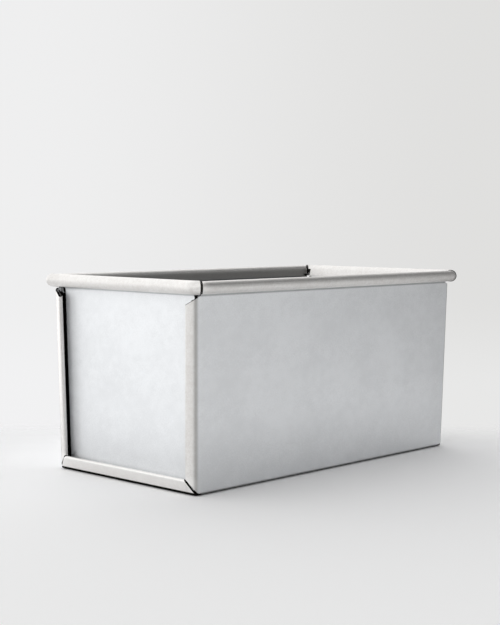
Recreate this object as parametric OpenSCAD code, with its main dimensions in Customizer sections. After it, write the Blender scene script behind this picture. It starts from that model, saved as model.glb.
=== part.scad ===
// Open loaf pan, folded from sheet metal around a wired rim.
//
// One sheet is bent to a U and makes the floor and both long walls. This is the
// trough. At each end the trough is folded over into a hem, and an end plate
// hooks into that hem along both walls and along the floor. The top edge of
// every wall is rolled outward around one ring of wire.
//
// X runs along the pan, Y across it and Z up. The origin is in the middle of
// the underside of the floor. Lengths are in millimetres, angles in degrees.

/* [Body] */
// Length over the hems, just above the floor
base_len = 204; // [150:1:300]
// Width over the long walls, just above the floor
base_w = 105; // [80:1:160]
// Height to the top of the end rims
body_h = 105; // [70:1:140]
// Outward travel of a wall for each millimetre up its sheet
wall_taper = 0.02; // [0.01:0.005:0.05]
// Thickness of the sheet
sheet_t = 0.6; // [0.4:0.05:0.7]
// Outside radius of the bend between floor and long wall
floor_bend_r = 2.6; // [2.2:0.1:5]

/* [End hems] */
// Width of the upright hems seen on the end of the pan
hem_w = 6.7; // [6:0.1:9]
// Height of the hem along the floor, which is folded a little wider
floor_hem_w = 7.9; // [7:0.1:10]
// Outside radius of the bend that starts the hem
hem_r = 2; // [1.8:0.1:2.2]
// Sine of the angle at which the hem stands out from the end
hem_tilt = 0.352; // [0.2:0.01:0.45]
// Depth of the end plate behind the front of the hem
end_recess = 3.8; // [3.8:0.1:5]
// Width of the notch that clears the upright hem at the front, on -Y
front_notch_w = 7; // [4:0.1:8]
// Height of that notch below the plate's turned top
front_notch_h = 1.5; // [1:0.1:4]
// Width of the notch at the back, which is cut narrower and deeper
back_notch_w = 4.1; // [3:0.1:8]
// Height of the notch at the back
back_notch_h = 3.5; // [1:0.1:4]
// Inside radius of the bend at the foot of the end plate's flange
flange_bend_r = 1.5; // [0.8:0.1:1.5]
// Clearance between sheets that are folded together
seat_gap = 0.15; // [0.1:0.05:0.2]
// Width of the open mitre at its inner end, at the bottom corners
mitre_gap = 0.6; // [0.4:0.1:1.5]
// Height of the mitre's inner end above the width of the upright hem
mitre_rise = 1.5; // [1:0.1:1.6]
// Slope of the mitre on the lip of the hem
mitre_slope = 48; // [44:1:50]
// Angle by which each side of the mitre opens toward the corner of the pan
mitre_flare = 2.5; // [0:0.5:4]
// Slope of the cut at the top of each upright hem
hem_cut_slope = 24; // [15:1:40]

/* [Rim] */
// Diameter of the rolled rim on the long walls
side_roll_d = 6.3; // [5.5:0.1:7]
// Diameter of the rolled rim on the end plates
end_roll_d = 6.9; // [6:0.1:7.5]
// Diameter of the wire inside the rim
wire_d = 4; // [3:0.1:4]
// Corner radius of the wire, measured to its middle
wire_corner_r = 4; // [3.9:0.1:8]
// Distance that the end rims are set outward from the end plates
end_rim_offset = 1.7; // [0.5:0.1:3]
// Outward travel of the end plate's turned top for each millimetre up its sheet
end_jog = 0.28; // [0.2:0.01:0.45]
// Opening left between a rolled edge and the wall it returns to
roll_gap = 0.3; // [0.2:0.05:0.6]
// Width of the open seam between side rim and end rim
seam_gap = 0.9; // [0.4:0.1:1.5]
// Place of that seam in the corner, 0 at the end and 90 at the long side
seam_angle = 56; // [45:1:75]
// Opening between the two ends of the wire ring
wire_joint_gap = 0.8; // [0.4:0.1:2]

/* [Hidden] */
$fn = 48;

wall_lean = asin(wall_taper);
hem_lean = asin(hem_tilt);
jog_lean = asin(end_jog);
// Sideways travel of a wall for each millimetre of height
lean_rate = tan(wall_lean);
// Second turn of a corner edge, which leans along the pan and across it
cross_lean = atan(wall_taper);

// The sheet is a little thinner where it is rolled around the wire
rim_thinning = 0.1;
rim_t = sheet_t - rim_thinning;
rim_inset = (sheet_t - rim_t) / 2;
side_roll_r = side_roll_d / 2;
end_roll_r = end_roll_d / 2;

// Middle of the bend between floor and long wall, and of the floor hem's bend
floor_half = base_w / 2 - floor_bend_r;
floor_hem_x = base_len / 2 - hem_r;
// Middle of the upright hem's bend, at the top of the floor bend
wall_foot_x = floor_hem_x + lean_rate * (floor_bend_r - hem_r);

// Height of the middle of the wire, and its distance from the pan's middle
wire_z = body_h - end_roll_r;
wire_half_len = hundredth(end_x(wire_z, end_recess + sheet_t - end_rim_offset - end_roll_r));
wire_half_w = hundredth(wall_y(wire_z, sheet_t - rim_inset - side_roll_r));
// Middle of the bend at each corner of the ring
corner_x = wire_half_len - wire_corner_r;
corner_y = wire_half_w - wire_corner_r;

// Three layers of sheet and two clearances fit in the folded edge of a hem
fold_r = (3 * sheet_t + 2 * seat_gap) / 2;
// Straight part of the lip of an upright hem and of the floor hem
wall_lip = lip_rise(hem_w);
floor_lip = lip_rise(floor_hem_w);
// Outside radius of the hook that the end plate puts into the hem
hook_r = hem_r - sheet_t - seat_gap;
// Middle of the bend between end plate and flange, seen in the flange section
flange_bend_x = hem_r - end_recess + flange_bend_r;
flange_bend_y = sheet_t - hook_r + flange_bend_r;
// Flat plate drawn with a flange, and how much of it the panel leaves free
stub_len = 2;
stub_free = 1;

// Clearance between the corner of the long wall and the end rim above it
rim_clearance = 0.7;
wall_top_z = body_h - end_roll_d - rim_clearance;
// Length of long wall above the floor bend
wall_run = hundredth((wall_top_z - floor_bend_r) / cos(wall_lean));
// Length of rolled sheet that runs down inside the long wall
lap_len = 3;
// Drop of the trough's mitre for each millimetre that it runs back around the
// bend of the upright hem
mitre_sweep = 0.6;
// Height to which the upright hem's foot laps into the wall above the floor bend
foot_lap = 0.5;

// Drop from the wall's top to the sloped cut, at the front of the hem's outer
// corner, and how much lower the end plate's flange is cut
hem_cut_drop = 1;
hem_cut_z = wall_top_z - hem_cut_drop;
flange_drop = 2;

// The end plate turns outward this far below the wire, measured along the
// plate, and its turned part is this long
jog_reach = end_rim_offset + end_roll_r - sheet_t;
jog_drop = (jog_reach * cos(jog_lean) - end_roll_r + rim_t) / sin(jog_lean);
jog_len = jog_reach * sin(jog_lean) + jog_drop * cos(jog_lean);
// Turned part that is drawn inside the panel
jog_lap = 0.3;
// Height of the turn above the floor hem's bend, measured along the plate
jog_z = (wire_z - hem_r) * cos(wall_lean) + (wire_half_len - floor_hem_x) * sin(wall_lean)
    - jog_drop;

// Distance from the long wall's sheet to the edge of the end plate's turned top
edge_top_inset = 2.6;
jog_half_w = hundredth(panel_y(jog_z, sheet_t + edge_top_inset));
// Height of the plate's upright edge below the turn
jog_side_h = 0.4;
// Height over which a notch runs out into the plate's side
notch_foot_h = 2;

// A cutting shape keeps this much inside the bend that it follows
trim = 0.05;
// Cutting shapes reach this far past what they cut
over = 10;

function hundredth(value) = round(100 * value) / 100;

// Y of the long wall at height z, at depth q inside its outer face
function wall_y(z, q) =
    floor_half + (floor_bend_r - q) / cos(wall_lean) + lean_rate * (z - floor_bend_r);

// X of the end at height z, at depth q behind the front of the hem
function end_x(z, q) =
    floor_hem_x + (hem_r - q) / cos(wall_lean) + lean_rate * (z - hem_r);

// Half the width of the end plate, at a height along the plate and a depth q
function panel_y(height, q) = wall_y(hem_r + height * cos(wall_lean), q);

// Corners of the end plate's upright edge from its foot to its top, with a notch
// of this size
function panel_edge(notch_w, notch_h) =
    let (side_q = hem_r + flange_bend_y + stub_free)
    let (foot = flange_bend_y + stub_free)
    let (notch = jog_z - notch_h)
    [
        [panel_y(foot, side_q), foot],
        [panel_y(notch - notch_foot_h, side_q), notch - notch_foot_h],
        [panel_y(notch, sheet_t + notch_w), notch],
        [jog_half_w, jog_z - jog_side_h],
        [jog_half_w, jog_z]
    ];

// Straight part of a hem's lip, for a hem of this width
function lip_rise(width) =
    (width - hem_r - fold_r + (hem_r - fold_r) * hem_tilt) / cos(hem_lean);

// Slice of a disc between two angles
module sector(radius, from, to) {
    steps = 4;
    turn = (to - from) / steps;
    fan = [for (k = [0 : steps]) 2 * radius * [cos(from + k * turn), sin(from + k * turn)]];
    intersection() {
        circle(r = radius);
        polygon(concat([[0, 0]], fan));
    }
}

// Sheet bent around the origin between two angles
module bend(outer_r, thickness, from, to) {
    difference() {
        sector(outer_r, from, to);
        circle(r = outer_r - thickness);
    }
}

// Section of a rolled edge, with x outward and y up and the wire's middle at
// the origin. A straight tail runs down from it.
module rolled_edge(roll_r, tail) {
    opening = acos((roll_r - rim_t - rim_inset - roll_gap) / roll_r);
    bend(roll_r, rim_t, opening - 180, 180);
    if (tail > 0)
        translate([-roll_r, -tail])
            square([rim_t, tail]);
}

// Section of a hem. x is outward, y is away from the sheet that is folded, and
// the origin is the middle of the first bend. The lip leans outward.
module hem_section(lean, lip) {
    bend(hem_r, sheet_t, -90, -lean);
    rotate(-lean) {
        translate([hem_r - sheet_t, 0])
            square([sheet_t, lip]);
        translate([hem_r - fold_r, lip])
            bend(fold_r, sheet_t, 0, 180);
        translate([hem_r - 2 * fold_r, 0])
            square([sheet_t, lip]);
    }
}

// Section of the end plate's flange, in the same frame. It hooks between the
// lip and the folded edge, runs back along the wall and turns into the plate.
module flange_section(lip) {
    rotate(-hem_lean)
        translate([hook_r - sheet_t, 0])
            square([sheet_t, lip]);
    bend(hook_r, sheet_t, -90, -hem_lean);
    translate([flange_bend_x, -hook_r])
        square([-flange_bend_x, sheet_t]);
    translate([flange_bend_x, flange_bend_y])
        bend(flange_bend_r + sheet_t, sheet_t, 180, 270);
    translate([hem_r - end_recess - sheet_t, flange_bend_y])
        square([sheet_t, stub_len]);
}

// Outline of the pan seen from its end, with the bottom corners rounded
module end_outline(corner_r) {
    arc = [
        for (k = [0 : 9])
            [floor_half + corner_r * sin(10 * k), floor_bend_r - corner_r * cos(10 * k)]
    ];
    right = concat(
        [[floor_half, -over]],
        arc,
        [[base_w / 2 + over, floor_bend_r], [base_w / 2 + over, body_h]]
    );
    left = [for (k = [len(right) - 1 : -1 : 0]) [-right[k][0], right[k][1]]];
    polygon(concat(right, left));
}

// Turns a drawing of y and z into a block around the right end
module across_end() {
    translate([floor_hem_x - over, 0, 0])
        rotate([90, 0, 90])
            linear_extrude(height = 2 * over)
                children();
}

// Block on the far side of the open mitre, right end and +Y side. The side is 1
// to cut an upright hem and -1 to cut the hem along the floor.
module past_mitre(side, sweep) {
    span = 8 * over;
    slope = tan(mitre_slope - side * mitre_flare) - sweep * tan(hem_lean);
    normal = [-sweep, slope, 1];
    inner_end = [
        end_x(hem_w, 0) + (hem_w - hem_r) * tan(hem_lean),
        base_w / 2 - hem_w,
        hem_w + mitre_rise + side * mitre_gap / sqrt(2)
    ];
    translate(inner_end)
        rotate([0, acos(normal[2] / norm(normal)), atan2(normal[1], normal[0])])
            translate([-span / 2, -span / 2, side > 0 ? -span : 0])
                cube(span);
}

// Block above the sloped cut of the upright hem, lowered by the drop
module above_hem_cut(drop) {
    steepest = atan(sqrt(2) * tan(hem_cut_slope));
    span = 4 * over;
    translate([end_x(hem_cut_z, 0), wall_y(hem_cut_z, 0), hem_cut_z - drop])
        rotate([0, 0, 135])
            rotate([0, -steepest, 0])
                translate([-span / 2, -span / 2, 0])
                    cube(span);
}

// Block on the long side of the rim seam, or on the end's side of it
module beyond_seam(long_side) {
    span = 4 * over;
    translate([corner_x, corner_y, wire_z])
        rotate([0, 0, seam_angle])
            translate([-span / 2, long_side ? -seam_gap / 2 : seam_gap / 2 - span, -span / 2])
                cube(span);
}

// Quarter turn of a rim section at the right end, +Y side
module rim_corner() {
    translate([corner_x, corner_y, wire_z])
        rotate_extrude(angle = 90)
            translate([wire_corner_r, 0])
                children();
}

// Repeats a shape at both sides of the pan
module both_sides() {
    children();
    mirror([0, 1, 0])
        children();
}

// Repeats a shape at both ends of the pan
module both_ends() {
    children();
    mirror([1, 0, 0])
        children();
}

// Floor with the bends at both long sides
module floor_sheet() {
    translate([-floor_hem_x, -floor_half, 0])
        cube([2 * floor_hem_x, 2 * floor_half, sheet_t]);
    both_sides()
        translate([0, floor_half, floor_bend_r])
            rotate([90, 0, 90])
                linear_extrude(height = 2 * floor_hem_x, center = true)
                    bend(floor_bend_r, sheet_t, -90, -wall_lean);
}

// Hem along the floor at the right end
module floor_hem() {
    difference() {
        intersection() {
            translate([floor_hem_x, 0, hem_r])
                rotate([90, 0, 0])
                    linear_extrude(height = base_w + over, center = true)
                        hem_section(hem_lean + wall_lean, floor_lip);
            across_end()
                end_outline(floor_bend_r - trim);
        }
        both_sides()
            past_mitre(-1, mitre_sweep);
    }
}

// Moves a drawing to the right end of the +Y long wall, just above the floor bend
module wall_frame() {
    translate([wall_foot_x, floor_half, floor_bend_r])
        rotate([-wall_lean, 0, 0])
            children();
}

// Space that the right half of the +Y long wall fills, with the foot of its hem
// beside the floor bend
module wall_space() {
    wall_frame()
        translate([-2 * wall_foot_x, -base_w, 0])
            cube([3 * wall_foot_x, 2 * base_w, wall_run]);
    across_end()
        intersection() {
            end_outline(floor_bend_r - trim);
            translate([-base_w, 0])
                square([2 * base_w, floor_bend_r + foot_lap]);
        }
}

// Right half of the +Y long wall, with its upright hem
module half_wall() {
    past_middle = over;
    difference() {
        intersection() {
            wall_frame()
                rotate([0, cross_lean, 0])
                    translate([0, floor_bend_r - hem_r, -over])
                        linear_extrude(height = wall_run + 2 * over)
                            mirror([0, 1]) {
                                hem_section(hem_lean, wall_lip);
                                translate([-wall_foot_x - past_middle, -hem_r])
                                    square([wall_foot_x + past_middle, sheet_t]);
                            }
            wall_space();
        }
        past_mitre(1, mitre_sweep);
        above_hem_cut(0);
    }
}

// Rolled top edge of the +Y long wall
module side_rim() {
    tail = wire_z - wall_top_z + lap_len;
    translate([0, wire_half_w, wire_z])
        rotate([90, 0, 90])
            linear_extrude(height = 2 * corner_x, center = true)
                rotate(-wall_lean)
                    rolled_edge(side_roll_r, tail);
    both_ends()
        difference() {
            rim_corner()
                rotate(-wall_lean)
                    rolled_edge(side_roll_r, 0);
            beyond_seam(false);
        }
}

module trough() {
    color("gainsboro") {
        floor_sheet();
        both_ends()
            floor_hem();
        both_sides() {
            both_ends()
                half_wall();
            side_rim();
        }
    }
}

// Flat panel of the end plate, in the frame of the plate
module end_panel() {
    back_edge = panel_edge(back_notch_w, back_notch_h);
    front_edge = panel_edge(front_notch_w, front_notch_h);
    last = len(front_edge) - 1;
    mirrored = [for (k = [last : -1 : 0]) [-front_edge[k][0], front_edge[k][1]]];
    translate([hem_r - end_recess - sheet_t, 0, 0])
        rotate([90, 0, 90])
            linear_extrude(height = sheet_t)
                polygon(concat(back_edge, mirrored));
}

// Part of the end view that the end plate's flanges may fill
module flange_outline() {
    end_outline(floor_bend_r - sheet_t - seat_gap);
}

// Flange along the floor, in the frame of the plate
module floor_flange() {
    rotate([90, 0, 0])
        linear_extrude(height = base_w + over, center = true)
            flange_section(floor_lip);
}

// Flange along the +Y long wall, in the frame of the plate
module wall_flange() {
    translate([0, wall_y(hem_r, hem_r), 0])
        rotate([-cross_lean, 0, 0])
            linear_extrude(height = wall_run)
                mirror([0, 1])
                    flange_section(wall_lip);
}

// Moves the frame of the plate to the right end of the pan
module plate_frame() {
    translate([floor_hem_x, 0, hem_r])
        rotate([0, wall_lean, 0])
            children();
}

// Rolled top edge of the end plate, with its turned corners
module end_rim() {
    translate([wire_half_len, 0, wire_z])
        rotate([90, 0, 0]) {
            linear_extrude(height = 2 * corner_y, center = true)
                rotate(-wall_lean)
                    rotate(-jog_lean)
                        rolled_edge(end_roll_r, 0);
            linear_extrude(height = 2 * jog_half_w, center = true)
                rotate(-wall_lean)
                    rotate(-jog_lean)
                        translate([-end_roll_r, -jog_len - jog_lap])
                            square([rim_t, jog_len + jog_lap]);
        }
    both_sides()
        difference() {
            rim_corner()
                rotate(-wall_lean)
                    rotate(-jog_lean)
                        rolled_edge(end_roll_r, 0);
            beyond_seam(true);
        }
}

module end_plate() {
    plate_frame()
        end_panel();
    difference() {
        intersection() {
            plate_frame()
                floor_flange();
            across_end()
                flange_outline();
        }
        both_sides()
            past_mitre(-1, 0);
    }
    both_sides()
        difference() {
            intersection() {
                plate_frame()
                    wall_flange();
                across_end()
                    flange_outline();
            }
            past_mitre(1, 0);
            above_hem_cut(flange_drop);
        }
    end_rim();
}

module right_end_plate() {
    color("silver")
        end_plate();
}

module left_end_plate() {
    color("silver")
        mirror([1, 0, 0])
            end_plate();
}

// Wire ring inside the rim, with its two ends butted in the +Y long side
module rim_wire() {
    color("dimgray")
        difference() {
            union() {
                both_sides()
                    translate([0, wire_half_w, wire_z])
                        rotate([0, 90, 0])
                            cylinder(h = 2 * corner_x, d = wire_d, center = true);
                both_ends()
                    translate([wire_half_len, 0, wire_z])
                        rotate([90, 0, 0])
                            cylinder(h = 2 * corner_y, d = wire_d, center = true);
                both_ends()
                    both_sides()
                        rim_corner()
                            circle(d = wire_d);
            }
            translate([-wire_joint_gap / 2, wire_half_w - wire_d, wire_z - wire_d])
                cube([wire_joint_gap, 2 * wire_d, 2 * wire_d]);
        }
}

trough();
left_end_plate();
right_end_plate();
rim_wire();
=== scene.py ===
# %% [markdown]
# An open loaf pan of folded sheet metal, dressed for a studio picture.
# The imported model brings every folded sheet at its real size, so this script only
# adds what the eye reads as metal: the satin coating, the rougher look of the
# edges that were rolled and hammered over, painted shade in the gaps between the
# sheets and in other dim places, and the wire inside the rim.
# Everything is in metres. X runs along the pan, Y across it and Z up.

# %% Load the folded sheets
import math

import bpy
from mathutils import Matrix, Vector


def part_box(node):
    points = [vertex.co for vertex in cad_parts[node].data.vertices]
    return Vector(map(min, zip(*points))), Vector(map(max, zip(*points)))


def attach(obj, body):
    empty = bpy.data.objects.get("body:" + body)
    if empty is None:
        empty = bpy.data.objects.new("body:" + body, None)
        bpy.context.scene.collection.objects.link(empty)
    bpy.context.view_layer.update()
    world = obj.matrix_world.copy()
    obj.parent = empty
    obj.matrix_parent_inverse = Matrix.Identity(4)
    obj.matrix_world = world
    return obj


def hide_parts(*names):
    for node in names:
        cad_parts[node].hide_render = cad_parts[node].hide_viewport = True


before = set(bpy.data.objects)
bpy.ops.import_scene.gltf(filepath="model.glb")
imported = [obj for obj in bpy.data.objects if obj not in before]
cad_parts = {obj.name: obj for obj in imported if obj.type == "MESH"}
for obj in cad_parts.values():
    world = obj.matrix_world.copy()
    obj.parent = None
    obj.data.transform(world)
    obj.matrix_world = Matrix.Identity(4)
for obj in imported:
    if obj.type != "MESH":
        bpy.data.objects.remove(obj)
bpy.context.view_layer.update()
MM = 0.001
print("sheets and wire:", sorted(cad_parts))

# %% [markdown]
# The camera stands past the near corner, a little above the rim, and looks a
# little down. The long side shows about twice as wide as the end beside it, and
# a long lens keeps the upright edges nearly upright. A camera could be aimed by a
# constraint, but here its angles are known: its place, turn, tilt and roll were
# worked out from where the pan's corners lie in the photograph.

# %% Place the camera
PHOTO_HEIGHT_PX = 625
FOCAL_PX = 1310.75
SENSOR_MM = 24.0
CAMERA_AT = Vector((-538.6, -502.3, 133.9)) * MM
CAMERA_TURN = math.radians(-46.50)
CAMERA_TILT = math.radians(4.04)
CAMERA_ROLL = math.radians(0.23)
CLIP_START = 10 * MM


def look_axes(turn, tilt, roll):
    """Right, up and back of a camera turned from +Y, tilted down and rolled."""
    back = Vector(
        (
            math.sin(turn) * math.cos(tilt),
            -math.cos(turn) * math.cos(tilt),
            math.sin(tilt),
        )
    )
    right = Vector((0, 0, 1)).cross(back).normalized()
    spin = Matrix.Rotation(roll, 3, back)
    return spin @ right, spin @ back.cross(right), back


scene = bpy.context.scene
camera = bpy.data.objects.new("camera", bpy.data.cameras.new("camera"))
scene.collection.objects.link(camera)
scene.camera = camera
right, up, back = look_axes(CAMERA_TURN, CAMERA_TILT, CAMERA_ROLL)
turned = Matrix((right, up, back)).transposed().to_4x4()
camera.matrix_world = Matrix.Translation(CAMERA_AT) @ turned
camera.data.sensor_fit = "VERTICAL"
camera.data.sensor_height = SENSOR_MM
camera.data.lens = FOCAL_PX * SENSOR_MM / PHOTO_HEIGHT_PX
camera.data.clip_start = CLIP_START
print("camera stands", round(CAMERA_AT.length, 3), "m from the middle of the floor")

# %% [markdown]
# Shader maths reads best as sums. This small class wraps a node socket, so that
# an expression such as `1 - mask * 0.4` adds the Math nodes by itself. Any other
# node comes from `Graph.add`, which first sets the node's own settings and then
# its sockets, from plain values or from wires.


# %% Sums of sockets
class Wire:
    """One output socket that can be used in sums."""

    def __init__(self, graph, socket):
        self.graph = graph
        self.socket = socket

    def __add__(self, other):
        return self.graph.maths("ADD", self, other)

    def __radd__(self, other):
        return self.graph.maths("ADD", other, self)

    def __sub__(self, other):
        return self.graph.maths("SUBTRACT", self, other)

    def __rsub__(self, other):
        return self.graph.maths("SUBTRACT", other, self)

    def __mul__(self, other):
        return self.graph.maths("MULTIPLY", self, other)

    def __rmul__(self, other):
        return self.graph.maths("MULTIPLY", other, self)

    def __neg__(self):
        return self * -1

    def __abs__(self):
        return self.graph.maths("ABSOLUTE", self)


# %% [markdown]
# A material, a world and a Geometry Nodes tree are all node trees, so one small
# helper serves them all. It could be a set of loose functions that take a tree.
# As a class it keeps the tree to itself, and the lines that use it stay short.

# %% A graph that adds nodes
# The Mix node numbers its colour sockets after those for numbers and vectors.
MIX_COLOUR_A = 6
MIX_COLOUR_B = 7
MIX_COLOUR_RESULT = 2


class Graph:
    """Adds nodes to one node tree."""

    def __init__(self, tree):
        self.tree = tree

    def add(self, kind, settings=None, inputs=None, output=0):
        node = self.tree.nodes.new(kind)
        for name, value in (settings or {}).items():
            setattr(node, name, value)
        for key, value in (inputs or {}).items():
            self.feed(node.inputs[key], value)
        return Wire(self, node.outputs[output])

    def feed(self, socket, value):
        if isinstance(value, Wire):
            self.tree.links.new(value.socket, socket)
        else:
            socket.default_value = value

    def maths(self, operation, *values):
        inputs = dict(enumerate(values))
        return self.add("ShaderNodeMath", {"operation": operation}, inputs)

    def most(self, a, b):
        return self.maths("MAXIMUM", a, b)

    def step(self, value, low, high):
        """0 below low and 1 above high, with a smooth rise between them."""
        settings = {"interpolation_type": "SMOOTHSTEP"}
        inputs = {"Value": value, "From Min": low, "From Max": high}
        return self.add("ShaderNodeMapRange", settings, inputs)

    def fade(self, value, low, high):
        """1 below low and 0 above high, with a smooth fall between them."""
        return 1 - self.step(value, low, high)

    def colour(self, tone):
        """A wire as it is, and three numbers with an alpha of 1."""
        return tone if isinstance(tone, Wire) else (*tone, 1.0)

    def blend(self, factor, a, b):
        """Colour a where factor is 0 and colour b where it is 1."""
        colours = {MIX_COLOUR_A: self.colour(a), MIX_COLOUR_B: self.colour(b)}
        inputs = {"Factor": factor, **colours}
        settings = {"data_type": "RGBA"}
        return self.add("ShaderNodeMix", settings, inputs, output=MIX_COLOUR_RESULT)

    def noise(self, place, size, detail=2.0, roughness=0.5):
        """Cloudy noise around 0.5, with features of the given size in metres."""
        inputs = {
            "Vector": place,
            "Scale": 1 / size,
            "Detail": detail,
            "Roughness": roughness,
        }
        return self.add("ShaderNodeTexNoise", None, inputs)

    def dot(self, vector, direction):
        settings = {"operation": "DOT_PRODUCT"}
        inputs = {0: vector, 1: tuple(direction)}
        return self.add("ShaderNodeVectorMath", settings, inputs, output="Value")


# %% [markdown]
# The finish has to know where on the pan it is, because the metal looks different
# where it was worked and dark where two sheets are hooked together. Masks could be
# painted on a UV map of each folded sheet. Here they are worked out from Object
# coordinates, with the lengths of the folded sheet itself. All four walls lean
# out by the same taper, and most masks start from two distances: how far a point
# lies behind the face of the end hems, and how far inside the face of a long wall.

# %% Places on the pan
TAPER = 0.02
FRONT_HALF = 102 * MM
SIDE_HALF = 52.5 * MM


class Places:
    """Where a point lies on the pan, in metres."""

    def __init__(self, graph):
        self.graph = graph
        self.object = graph.add("ShaderNodeTexCoord", output="Object")
        split = graph.add("ShaderNodeSeparateXYZ", None, {0: self.object})
        outputs = split.socket.node.outputs
        self.x, self.y, self.z = (Wire(graph, outputs[axis]) for axis in "XYZ")
        self.behind_front = self.z * TAPER + FRONT_HALF - abs(self.x)
        self.inside_wall = self.z * TAPER + SIDE_HALF - abs(self.y)


print("walls lean out by", round(math.degrees(math.atan(TAPER)), 2), "degrees")

# %% [markdown]
# First come the stretches of sheet that were worked: the rims that were rolled
# around the wire, and the lips of the hems, which were folded over and hammered
# flat. The faces inside the pan, the strip right under the rims, the tight bends
# beside the hems and the bottom of the walls, which reflects the shadowed table, get
# painted shade. The lip along the floor is painted lighter, a painted reflection of
# the bright table. A mask is a smooth step over one distance, and a product of
# masks is where both hold.

# %% Rims, hems and faces
SHEET = 0.6 * MM
THROUGH_SHEET = (SHEET / 3, SHEET)
PAST_PLATE = (3.9 * MM, 4.3 * MM)
RIM_FOOT = (97.8 * MM, 98.6 * MM)
STRIP_UNDER_RIM = (96.9 * MM, 97.7 * MM)
HEM_TURN = (0.2 * MM, 1.6 * MM)
FLOOR_HEM_TOP = (6.5 * MM, 11 * MM)
BESIDE_BEND = (0.3 * MM, 2.6 * MM)
BEHIND_BEND = (0.4 * MM, 2.2 * MM)
LOWER_WALL_SHADE_HEIGHT = 38 * MM


def rim(at):
    """1 on the rolled rims."""
    return at.graph.step(at.z, *RIM_FOOT)


def under_rim(at):
    """1 on the top of the walls, right under the rolled rims."""
    return at.graph.step(at.z, *STRIP_UNDER_RIM) * (1 - rim(at))


def hem(at):
    """1 on the lips of the hems, fading out around the bend behind them."""
    return at.graph.fade(at.behind_front, *HEM_TURN)


def floor_lip(at):
    """1 on the lip of the hem along the floor, which is painted lighter as a painted
    reflection of the bright table.
    """
    return hem(at) * at.graph.fade(at.z, *FLOOR_HEM_TOP)


def bend(at):
    """Painted shade: 1 on the tight bend between a long wall and the lip of its hem.
    """
    beside = at.graph.fade(at.inside_wall, *BESIDE_BEND)
    near_front = at.graph.fade(at.behind_front, *BEHIND_BEND)
    return beside * near_front * (1 - rim(at))


def inner(at):
    """1 on the faces that look into the pan."""
    past_sheet = at.graph.step(at.inside_wall, *THROUGH_SHEET)
    above_floor = at.graph.step(at.z, *THROUGH_SHEET)
    between_ends = at.graph.step(at.behind_front, *PAST_PLATE)
    return past_sheet * above_floor * between_ends


def scuffed(at):
    """Painted shade, where the walls reflect the shadowed table: 1 at the very bottom
    of the walls, fading out a third of the way up.
    """
    return at.graph.fade(at.z, 0.0, LOWER_WALL_SHADE_HEIGHT)


print("rims start", RIM_FOOT[0] / MM, "mm above the table")

# %% [markdown]
# Folded sheet is never quite flat. The lip of an upright hem swells a little
# between its two bends, and an end plate rises softly toward the hems that grip
# it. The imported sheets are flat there, and a swell of half a millimetre is seen
# only by how it turns the light. So it is written as a height in metres that a
# Bump node reads, and the mesh stays as it is.

# %% Soft swells
HEM_WIDTH = 6.7 * MM
FLOOR_HEM_WIDTH = 7.9 * MM
LIP_CURVE = 42.0
EDGE_CURVE = 17.0
EDGE_REACH = 5 * MM


def lip_swell(at):
    """Height of the slight swell across an upright hem's lip."""
    across = at.inside_wall * (HEM_WIDTH - at.inside_wall) * LIP_CURVE
    return at.graph.most(across, 0.0) * hem(at) * (1 - rim(at))


def edge_swell(at):
    """Height of the soft rise of an end plate toward its hems."""
    beside = at.graph.most(HEM_WIDTH + EDGE_REACH - at.inside_wall, 0.0)
    above = at.graph.most(FLOOR_HEM_WIDTH + EDGE_REACH - at.z, 0.0)
    nearest = at.graph.most(beside, above)
    return nearest * nearest * EDGE_CURVE


print("a lip swells by", round((HEM_WIDTH / 2) ** 2 * LIP_CURVE / MM, 2), "mm")

# %% [markdown]
# Between the hooked sheets almost no light comes back out. The real gaps go deep
# and turn corners, while a render shows bright metal a millimetre inside them. The
# metal inside is therefore painted nearly black. A mask could simply be drawn
# where the gap shows in the photograph, but then it would be wrong from the other
# sides. Each mask here follows the cut that makes its gap.
#
# The first gaps are the open mitres at the bottom corners, where an upright hem
# meets the one along the floor. Their cut slopes, and widens inward.

# %% Open mitres at the bottom corners
MITRE_HEIGHT = 8.2 * MM
MITRE_RATE = 0.89
MITRE_SWEEP = 0.6
MITRE_OUT = 1.8 * MM
MITRE_HALF_GAP = 0.5 * MM
MITRE_FLARE = 0.088
MITRE_EDGE = 0.12 * MM
MITRE_DEPTH = (2.2 * MM, 2.6 * MM)


def mitre(at):
    """1 on the cut edges in the open mitres at the bottom corners."""
    inward = HEM_WIDTH - at.inside_wall
    out = -at.behind_front - MITRE_OUT
    line = MITRE_HEIGHT - inward * MITRE_RATE + out * MITRE_SWEEP
    half_gap = MITRE_HALF_GAP + inward * MITRE_FLARE
    off_line = abs(at.z - line) - half_gap
    near_end = at.graph.fade(at.behind_front, *MITRE_DEPTH)
    return at.graph.fade(off_line, 0, MITRE_EDGE) * near_end


print("mitres slope", round(math.degrees(math.atan(MITRE_RATE))), "degrees")

# %% [markdown]
# The top of each upright hem is cut off on a slope, and a small hollow is left
# between it and the rim. What is inside is painted dark, as painted shade, up to
# the wire's height.

# %% Hollows above the hems
HEM_CUT_HEIGHT = 96.4 * MM
HEM_CUT_RATE = 0.445
AT_CUT = (-0.25 * MM, -0.1 * MM)
POCKET_SIDE = (0.1 * MM, 0.3 * MM)
POCKET_DEPTH = (4.4 * MM, 9.5 * MM)
POCKET_TOP = (99.4 * MM, 99.6 * MM)


def pocket(at):
    """Painted shade: 1 inside the small hollow between the hem's top and the rim."""
    fall = (at.inside_wall - at.behind_front) * HEM_CUT_RATE
    past_cut = at.graph.step(at.z - HEM_CUT_HEIGHT + fall, *AT_CUT)
    past_side = at.graph.step(at.inside_wall, *POCKET_SIDE)
    shallow = at.graph.fade(at.behind_front, *POCKET_DEPTH)
    below_wire = at.graph.fade(at.z, *POCKET_TOP)
    return past_cut * past_side * shallow * below_wire


print("hems are cut off on a slope, about", HEM_CUT_HEIGHT / MM, "mm up")
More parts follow.
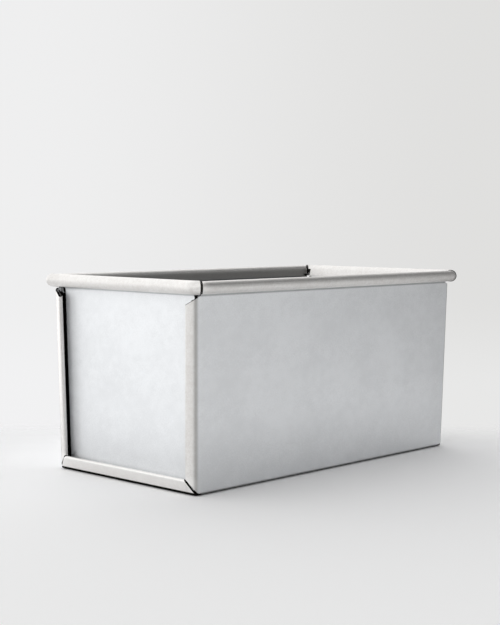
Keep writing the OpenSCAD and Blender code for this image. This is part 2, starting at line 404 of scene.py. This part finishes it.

# %% [markdown]
# The end plate's edges are bent forward and hooked into the hems. Only a thin line
# of that flange can be seen, deep between the lip and the plate, so the plate is
# painted dark, as painted shade, wherever a lip covers it.

# %% Flanges inside the hems
FLANGE_DEPTH = (2.9 * MM, 3.4 * MM)
FLANGE_TOP = (97.2 * MM, 97.5 * MM)
HOOK_WIDTH = (4.9 * MM, 5.3 * MM)
HOOK_TOP = (98.0 * MM, 98.3 * MM)


def hooked(at):
    """Painted shade on the end plate's flange, hidden inside the hem, and on the plate
    under the lips.
    """
    deep = at.graph.fade(at.behind_front, *FLANGE_DEPTH)
    deep = deep * at.graph.fade(at.z, *FLANGE_TOP)
    under_lip = at.graph.fade(at.inside_wall, *HOOK_WIDTH)
    under_lip = under_lip * at.graph.fade(at.z, *HOOK_TOP)
    return at.graph.most(deep, under_lip * (1 - inner(at)))


print("plates are dark within", round(HOOK_WIDTH[0] / MM, 1), "mm of a long wall")

# %% [markdown]
# The rolled rims of the trough and of the end plates meet in an open seam at each
# corner. Their cut edges face each other across it, with the wire between them,
# and are painted nearly black as painted shade.

# %% Seams of the rim
SEAM_CORNER = (100.7 * MM, 53.1 * MM)
SEAM_ANGLE = math.radians(56)
SEAM_HALF = (0.55 * MM, 0.65 * MM)
SEAM_START = (0, 0.3 * MM)


def seam(at):
    """Painted shade: 1 on the cut edges of the rims in the open seams at the corners.
    """
    along_x = abs(at.x) - SEAM_CORNER[0]
    along_y = abs(at.y) - SEAM_CORNER[1]
    off = along_y * math.cos(SEAM_ANGLE) - along_x * math.sin(SEAM_ANGLE)
    near = at.graph.fade(abs(off), *SEAM_HALF)
    past_corner = at.graph.step(along_y, *SEAM_START)
    return near * past_corner * rim(at)


print("seams run at", round(math.degrees(SEAM_ANGLE)), "degrees to the long sides")

# %% [markdown]
# Along the low edge of the bends, where the pan meets the table, a thin line is
# painted nearly black: a painted contact shadow, as the rendered one alone is soft.

# %% Low edge of the bends
ABOVE_TABLE = (0.01 * MM, 0.05 * MM)
FOOT_TOP = (1.1 * MM, 1.35 * MM)
FOOT_FRONT = (0.5 * MM, 1.5 * MM)
FOOT_FRONT_RISE = 0.35 * MM


def foot(at):
    """Painted contact shadow: 1 on the low edge of the bends, a little higher under
    the end hems.
    """
    above = at.graph.step(at.z, *ABOVE_TABLE)
    front = at.graph.fade(at.behind_front, *FOOT_FRONT)
    below = at.graph.fade(at.z - front * FOOT_FRONT_RISE, *FOOT_TOP)
    return above * below * (1 - inner(at))


# The line of painted contact shadow reaches this high.
print("dirt reaches", round(FOOT_TOP[1] / MM, 2), "mm above the table")

# %% [markdown]
# The coating is a thin layer of aluminium. It is bright but not polished: it
# scatters light in a wide soft lobe, and seen close up it has a fine grain, and
# faint clouds where the layer is thicker or thinner. Where the sheet was worked the
# layer is bruised, so rims and hems are warmer, blotchier and rougher than walls.
# A picture could carry all this, but it would blur close up and have seams. A
# metallic surface of middling roughness gives the lobe, noise at four sizes gives
# the grain, and the masks say which look holds where.

# %% Tones of the sheet
BLACK = (0, 0, 0)
FLAT_TONE = (0.95, 0.965, 0.98)
FLAT_DARK_TONE = (0.865, 0.88, 0.895)
WORKED_TONE = (0.87, 0.86, 0.845)
WORKED_DARK_TONE = (0.785, 0.765, 0.745)
FLOOR_LIP_REFLECTION_TONE = (0.98, 0.97, 0.955)
FLOOR_LIP_REFLECTION_SHARE = 0.6
CREVICE_SHADE_TONE = (0.012, 0.011, 0.010)
LOWER_WALL_SHADE = 0.16
BEND_SHADE = 0.42
UNDER_RIM_SHADE = 0.45
INNER_SHADE = 0.54
CLOUD_SIZE = 30 * MM
MOTTLE_SIZE = 5 * MM
BLOTCH_SIZE = 1.8 * MM
GRAIN_SIZE = 0.5 * MM
SHADE_RANGE = (0.38, 0.62)


class Coating:
    """The noises of the aluminium layer, from wide clouds to fine grain."""

    def __init__(self, at):
        place = at.object
        self.clouds = at.graph.noise(place, CLOUD_SIZE, detail=3)
        self.mottle = at.graph.noise(place, MOTTLE_SIZE, detail=4, roughness=0.6)
        self.grain = at.graph.noise(place, GRAIN_SIZE, detail=2)
        self.blotch = at.graph.noise(place, BLOTCH_SIZE, detail=4, roughness=0.65)

    def flat_shade(self):
        """How much of the brighter tone shows on flat sheet."""
        return self.clouds * 0.3 + self.mottle * 0.25 + self.grain * 0.45

    def worked_shade(self):
        """How much of the brighter tone shows on worked sheet."""
        return self.blotch * 0.4 + self.mottle * 0.2 + self.grain * 0.4


def sheet_tone(at, coating, worked, is_trough):
    """Colour of the clean metal, with the painted shade and painted reflection that
    its place gets.
    """
    graph = at.graph
    flat_shade = graph.step(coating.flat_shade(), *SHADE_RANGE)
    flat = graph.blend(flat_shade, FLAT_DARK_TONE, FLAT_TONE)
    worked_shade = graph.step(coating.worked_shade(), *SHADE_RANGE)
    bruised = graph.blend(worked_shade, WORKED_DARK_TONE, WORKED_TONE)
    flat = graph.blend(scuffed(at) * LOWER_WALL_SHADE, flat, BLACK)
    tone = graph.blend(worked, flat, bruised)
    tone = graph.blend(under_rim(at) * UNDER_RIM_SHADE, tone, BLACK)
    if is_trough:
        # Painted reflection: the lip along the floor is lightened as if it showed the
        # bright table.
        tone = graph.blend(floor_lip(at) * FLOOR_LIP_REFLECTION_SHARE, tone, FLOOR_LIP_REFLECTION_TONE)
        tone = graph.blend(bend(at) * BEND_SHADE, tone, BLACK)
    return graph.blend(inner(at) * INNER_SHADE, tone, BLACK)


print("grain of", GRAIN_SIZE / MM, "mm under clouds of", CLOUD_SIZE / MM, "mm")

# %% [markdown]
# Roughness sets how wide the soft lobe is, and a Bump node tilts the surface by
# the relief of the coating. The relief could be real displacement, but it is far
# finer than the mesh. A second Bump node holds the swell, because the swell is in
# plain metres and the relief is scaled down.

# %% Roughness and height of the sheet
FLAT_ROUGHNESS = 0.42
WORKED_ROUGHNESS = 0.48
RELIEF = 1.0 * MM
RELIEF_STRENGTH = 0.35


def sheet_roughness(coating, worked):
    """Wider soft lobes where the metal was worked."""
    clouds, mottle, grain = coating.clouds, coating.mottle, coating.grain
    flat = FLAT_ROUGHNESS + clouds * 0.08 + mottle * 0.06 + grain * 0.04
    bruised = WORKED_ROUGHNESS + coating.blotch * 0.04
    return flat * (1 - worked) + bruised * worked


def sheet_normal(graph, coating, worked, swell):
    """The swell of the sheet, in metres, under the relief of its coating."""
    relief = coating.grain * 0.02 + coating.mottle * 0.08 + coating.clouds * 0.4
    relief = relief + worked * coating.blotch * 0.012
    swollen = {"Height": swell, "Distance": 1.0, "Strength": 1.0}
    inputs = {"Height": relief, "Distance": RELIEF, "Strength": RELIEF_STRENGTH}
    inputs["Normal"] = graph.add("ShaderNodeBump", None, swollen)
    return graph.add("ShaderNodeBump", None, inputs)


print("relief of the coating stays under", RELIEF * RELIEF_STRENGTH / MM, "mm")

# %% [markdown]
# Now the parts come together in one finish. The trough and the end plates are cut
# from the same sheet, but other places on them are worked or carry painted shade,
# so each kind of piece gets its own copy of the finish with its own masks.

# %% Satin sheet
METALLIC = 1.0


def satin_sheet(name, is_trough):
    """Aluminised sheet, flat and smooth or bruised where it was worked, with painted
    shade in its gaps and dim places.
    """
    finish = bpy.data.materials.new(name)
    finish.use_nodes = True
    graph = Graph(finish.node_tree)
    shader = finish.node_tree.nodes["Principled BSDF"]
    at = Places(graph)
    if is_trough:
        worked = graph.most(rim(at), hem(at))
        crevice_shade = graph.most(graph.most(mitre(at), pocket(at)), foot(at))
        swell = lip_swell(at)
    else:
        worked = rim(at)
        crevice_shade = hooked(at)
        swell = edge_swell(at)
    crevice_shade = graph.most(crevice_shade, seam(at))
    coating = Coating(at)
    clean = sheet_tone(at, coating, worked, is_trough)
    rough = graph.most(sheet_roughness(coating, worked), crevice_shade)
    # Where the crevice masks hold, the metal is painted nearly black: painted shade.
    graph.feed(shader.inputs["Base Color"], graph.blend(crevice_shade, clean, CREVICE_SHADE_TONE))
    graph.feed(shader.inputs["Roughness"], rough)
    graph.feed(shader.inputs["Normal"], sheet_normal(graph, coating, worked, swell))
    shader.inputs["Metallic"].default_value = METALLIC
    return finish


def dress(node, finish):
    """Puts a finish on every material slot of a packed sheet."""
    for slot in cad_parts[node].material_slots:
        slot.material = finish


plate_finish = satin_sheet("end_plate_sheet", is_trough=False)
dress("trough", satin_sheet("trough_sheet", is_trough=True))
dress("left_end_plate", plate_finish)
dress("right_end_plate", plate_finish)
print("finishes on the sheets:", [m.name for m in bpy.data.materials if m.users])

# %% [markdown]
# The wire in the rim was never coated. All that shows of it is a dark spot in the
# open seams at the corners of the rim, and a plain dark brown, nearly black, would
# do there: partly the iron's own dark colour, partly painted shade of the deep
# seams. Iron is never one colour, though, so a little noise spreads rust over the
# drawn metal.

# %% Iron wire
WIRE_TONE = (0.035, 0.033, 0.031)
WIRE_RUST_TONE = (0.055, 0.042, 0.033)
RUST_SIZE = 1.2 * MM
RUST_RANGE = (0.45, 0.7)
WIRE_ROUGHNESS = 0.55
WIRE_METALLIC = 0.5


def iron_wire():
    """Drawn iron wire that was never coated, nearly black partly as painted shade."""
    finish = bpy.data.materials.new("iron_wire")
    finish.use_nodes = True
    graph = Graph(finish.node_tree)
    shader = finish.node_tree.nodes["Principled BSDF"]
    place = graph.add("ShaderNodeTexCoord", output="Object")
    rust = graph.noise(place, RUST_SIZE, detail=3)
    tone = graph.blend(graph.step(rust, *RUST_RANGE), WIRE_TONE, WIRE_RUST_TONE)
    graph.feed(shader.inputs["Base Color"], tone)
    graph.feed(shader.inputs["Roughness"], WIRE_ROUGHNESS + rust * 0.2)
    shader.inputs["Metallic"].default_value = WIRE_METALLIC
    return finish


wire_finish = iron_wire()
print("finish of the wire:", wire_finish.name)

# %% [markdown]
# The rim is rolled around one ring of this wire. On the real pan the wire is cut
# to length, bent around the four corners and butted in the middle of one long
# side. A curve with handles could be drawn by hand, but the shape follows a rule,
# so Geometry Nodes draw it: six points give the open ring, each corner is rounded,
# and a round section is swept along it.

# %% Nodes of the wire ring
RING_INPUTS = ("Half length", "Half width", "Height", "Corner", "Radius", "Butt gap")
RING_CORNER_STEPS = 12
RING_SECTION_SIDES = 32


def ring_points(graph, length, width, butt):
    """The six corners and ends of the open ring, from one end to the other."""
    ends = [
        (butt, width),
        (length, width),
        (length, -width),
        (-length, -width),
        (-length, width),
        (-butt, width),
    ]
    pick = graph.tree.nodes.new("GeometryNodeIndexSwitch")
    pick.data_type = "VECTOR"
    while len(pick.index_switch_items) < len(ends):
        pick.index_switch_items.new()
    graph.feed(pick.inputs["Index"], graph.add("GeometryNodeInputIndex"))
    for number, (x, y) in enumerate(ends):
        corner_at = graph.add("ShaderNodeCombineXYZ", None, {0: x, 1: y})
        graph.feed(pick.inputs[str(number)], corner_at)
    points = graph.add("GeometryNodeMeshLine", None, {"Count": len(ends)})
    inputs = {"Geometry": points, "Position": Wire(graph, pick.outputs[0])}
    return graph.add("GeometryNodeSetPosition", None, inputs)


def ring_tree(finish):
    """Geometry Nodes that sweep a round section along an open, rounded ring."""
    tree = bpy.data.node_groups.new("wire_ring", "GeometryNodeTree")
    sockets = tree.interface
    keys = {}
    for name in RING_INPUTS:
        given = sockets.new_socket(name, in_out="INPUT", socket_type="NodeSocketFloat")
        keys[name] = given.identifier
    sockets.new_socket("Geometry", in_out="OUTPUT", socket_type="NodeSocketGeometry")
    graph = Graph(tree)
    given = tree.nodes.new("NodeGroupInput").outputs
    length, width, height, corner, radius, gap = (
        Wire(graph, given[name]) for name in RING_INPUTS
    )
    placed = ring_points(graph, length, width, gap * 0.5)
    lift = graph.add("ShaderNodeCombineXYZ", None, {"Z": height})
    inputs = {"Geometry": placed, "Offset": lift}
    lifted = graph.add("GeometryNodeSetPosition", None, inputs)
    path = graph.add("GeometryNodeMeshToCurve", None, {"Mesh": lifted})
    inputs = {"Curve": path, "Count": RING_CORNER_STEPS, "Radius": corner}
    inputs["Limit Radius"] = True
    rounded = graph.add("GeometryNodeFilletCurve", {"mode": "POLY"}, inputs)
    inputs = {"Resolution": RING_SECTION_SIDES, "Radius": radius}
    section = graph.add("GeometryNodeCurvePrimitiveCircle", {"mode": "RADIUS"}, inputs)
    inputs = {"Curve": rounded, "Profile Curve": section, "Fill Caps": True}
    swept = graph.add("GeometryNodeCurveToMesh", None, inputs)
    real = graph.add("GeometryNodeRealizeInstances", None, {"Geometry": swept})
    inputs = {"Geometry": real, "Material": finish}
    coated = graph.add("GeometryNodeSetMaterial", None, inputs)
    result = tree.nodes.new("NodeGroupOutput")
    graph.feed(result.inputs["Geometry"], coated)
    return tree, keys


ring_nodes, ring_keys = ring_tree(wire_finish)
print("wire ring tree:", len(ring_nodes.nodes), "nodes")

# %% [markdown]
# A Geometry Nodes modifier stays live, and this one would be one more thing to
# carry along. Its result is taken once as a plain mesh, and the modifier goes. The
# ring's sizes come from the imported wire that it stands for, so both lie in the
# same place.

# %% Wire ring
WIRE_RADIUS = 2 * MM
WIRE_CORNER = 4 * MM
WIRE_BUTT_GAP = 0.8 * MM


def grown(name, tree, keys, sizes):
    """A plain mesh object from a Geometry Nodes tree and its sizes."""
    maker = bpy.data.objects.new(name, bpy.data.meshes.new(name + "_start"))
    scene.collection.objects.link(maker)
    modifier = maker.modifiers.new("grow", "NODES")
    modifier.node_group = tree
    for label, value in sizes.items():
        modifier[keys[label]] = value
    depsgraph = bpy.context.evaluated_depsgraph_get()
    mesh = bpy.data.meshes.new_from_object(maker.evaluated_get(depsgraph))
    maker.modifiers.clear()
    maker.data = mesh
    mesh.name = name
    return maker


ring_low, ring_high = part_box("rim_wire")
ring_sizes = {
    "Half length": ring_high.x - WIRE_RADIUS,
    "Half width": ring_high.y - WIRE_RADIUS,
    "Height": (ring_low.z + ring_high.z) / 2,
    "Corner": WIRE_CORNER,
    "Radius": WIRE_RADIUS,
    "Butt gap": WIRE_BUTT_GAP,
}
wire = grown("wire_ring", ring_nodes, ring_keys, ring_sizes)
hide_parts("rim_wire")
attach(wire, "root")
print("wire ring:", len(wire.data.polygons), "faces, box", wire.dimensions[:])

# %% [markdown]
# The set is a white table that runs back into a white wall. A studio bends one
# sheet of paper for this, and a bent sheet could be modelled. A matt plane that
# fades out behind the pan does the same: no hard horizon shows, and behind it is
# only the world's colour.

# %% Table
FORWARD = -Vector((back.x, back.y, 0)).normalized()
LEFT = -Vector((right.x, right.y, 0)).normalized()
TABLE_HALF = 3.0
TABLE_NEAR_TONE = (0.965, 0.965, 0.965)
TABLE_FAR_TONE = (0.965, 0.965, 0.97)
TABLE_TONE_RANGE = (-0.30, 0.05)
TABLE_FADE = (0.03, 0.13)
TABLE_ROUGHNESS = 0.9
TABLE_SPECULAR = 0.1


def white_table():
    """A matt white that fades out into the wall behind it."""
    finish = bpy.data.materials.new("white_table")
    finish.use_nodes = True
    graph = Graph(finish.node_tree)
    shader = finish.node_tree.nodes["Principled BSDF"]
    place = graph.add("ShaderNodeTexCoord", output="Object")
    onward = graph.dot(place, FORWARD)
    farness = graph.step(onward, *TABLE_TONE_RANGE)
    tone = graph.blend(farness, TABLE_NEAR_TONE, TABLE_FAR_TONE)
    graph.feed(shader.inputs["Base Color"], tone)
    graph.feed(shader.inputs["Alpha"], graph.fade(onward, *TABLE_FADE))
    shader.inputs["Roughness"].default_value = TABLE_ROUGHNESS
    shader.inputs["Specular IOR Level"].default_value = TABLE_SPECULAR
    return finish


def table(half, finish):
    """A square plane at the foot of the pan."""
    corners = [(-half, -half, 0), (half, -half, 0), (half, half, 0), (-half, half, 0)]
    mesh = bpy.data.meshes.new("table")
    mesh.from_pydata(corners, [], [(0, 1, 2, 3)])
    mesh.materials.append(finish)
    top = bpy.data.objects.new("table", mesh)
    scene.collection.objects.link(top)
    return top


table_top = table(TABLE_HALF, white_table())
print("table:", 2 * TABLE_HALF, "m wide, fading out over", TABLE_FADE, "m")

# %% [markdown]
# Satin metal is mostly a picture of its surroundings, so the room matters more
# than any lamp. The camera, though, should see a plain pale wall. The Light Path
# node tells the two apart, so the world can be a wall for the camera and a room
# for everything else. The wall comes first. It is a little darker on the right.

# %% Wall behind the table
WALL_LEFT = (0.863, 0.863, 0.866)
WALL_RIGHT = (0.745, 0.742, 0.733)
WALL_LOW_LEFT = (0.885, 0.885, 0.893)
WALL_LOW_RIGHT = (0.805, 0.805, 0.80)
WALL_SPREAD = 0.19
WALL_FOOT = (-0.13, -0.05)


def wall_seen(graph, height, leftward):
    """The plain wall that the camera sees."""
    across = graph.step(leftward, -WALL_SPREAD, WALL_SPREAD)
    high = graph.blend(across, WALL_RIGHT, WALL_LEFT)
    low = graph.blend(across, WALL_LOW_RIGHT, WALL_LOW_LEFT)
    return graph.blend(graph.step(height, *WALL_FOOT), low, high)


print("wall tone from left to right:", WALL_LEFT[0], WALL_RIGHT[0])

# %% [markdown]
# White panels could be stood around the pan. The world can also be brighter in
# some directions than in others, which is simpler. The room is dim but for two low
# banks of light. One stands behind the pan on the left. The other runs along the
# right and falls off toward the back, which makes the long side darker toward its
# far end. The levels were chosen so that the metal's tones match the photograph.

# %% Room around the table
ROOM_BASE = 0.06
ROOM_LOW = 0.10
ROOM_BACK = 0.72
ROOM_RIGHT = 0.66
ROOM_OVERHEAD = 0.05
LOW_RANGE = (0.25, 0.8)
OVERHEAD_RANGE = (0.68, 0.9)
RIGHT_RANGE = (0.0, 0.75)
RIGHT_END = (-0.20, 0.09)
BACK_RANGE = (0.3, 0.95)
BACK_LEFT_RANGE = (-0.3, 0.5)


def room_reflected(graph, height, leftward, onward):
    """Brightness of the room that lights the pan and shows in the metal."""
    low = graph.fade(height, *LOW_RANGE)
    rightward = graph.step(-leftward, *RIGHT_RANGE)
    right_bank = rightward * graph.fade(onward, *RIGHT_END) * ROOM_RIGHT
    left_half = graph.step(leftward, *BACK_LEFT_RANGE)
    back_bank = graph.step(onward, *BACK_RANGE) * left_half * ROOM_BACK
    overhead = graph.step(height, *OVERHEAD_RANGE) * ROOM_OVERHEAD
    return (right_bank + back_bank + ROOM_LOW) * low + overhead + ROOM_BASE


def studio():
    """A world that shows the wall to the camera and the room to everything else."""
    world = bpy.data.worlds.new("studio")
    world.use_nodes = True
    graph = Graph(world.node_tree)
    toward = graph.add("ShaderNodeTexCoord", output="Generated")
    height = graph.dot(toward, (0, 0, 1))
    leftward = graph.dot(toward, LEFT)
    onward = graph.dot(toward, FORWARD)
    level = room_reflected(graph, height, leftward, onward)
    light = graph.add("ShaderNodeCombineColor", None, {0: level, 1: level, 2: level})
    is_camera = graph.add("ShaderNodeLightPath", output="Is Camera Ray")
    tone = graph.blend(is_camera, light, wall_seen(graph, height, leftward))
    graph.feed(world.node_tree.nodes["Background"].inputs["Color"], tone)
    return world


scene.world = studio()
print("room levels, back and right bank:", ROOM_BACK, ROOM_RIGHT)

# %% [markdown]
# One big soft light stands high on the left and a little behind the pan. It makes
# the end plate nearly white, leaves the long side grey and casts a soft shadow to
# the right. An area lamp could do this, but its light weakens across the table. A
# sun lamp with a very wide disc is as soft and lights everything evenly. The view
# transform is Standard, so that a tone renders about as it is written.

# %% Big soft light
LIGHT_FROM = LEFT * 0.80 + FORWARD * 0.22 + Vector((0, 0, 0.78))
LIGHT_STRENGTH = 2.92
LIGHT_SPREAD = math.radians(140)

lamp = bpy.data.lights.new("softbox", "SUN")
lamp.energy = LIGHT_STRENGTH
lamp.angle = LIGHT_SPREAD
softbox = bpy.data.objects.new("softbox", lamp)
softbox.rotation_euler = LIGHT_FROM.to_track_quat("Z", "Y").to_euler()
scene.collection.objects.link(softbox)
scene.view_settings.view_transform = "Standard"
light_height = math.degrees(math.asin(LIGHT_FROM.normalized().z))
print("soft light stands", round(light_height), "degrees high")
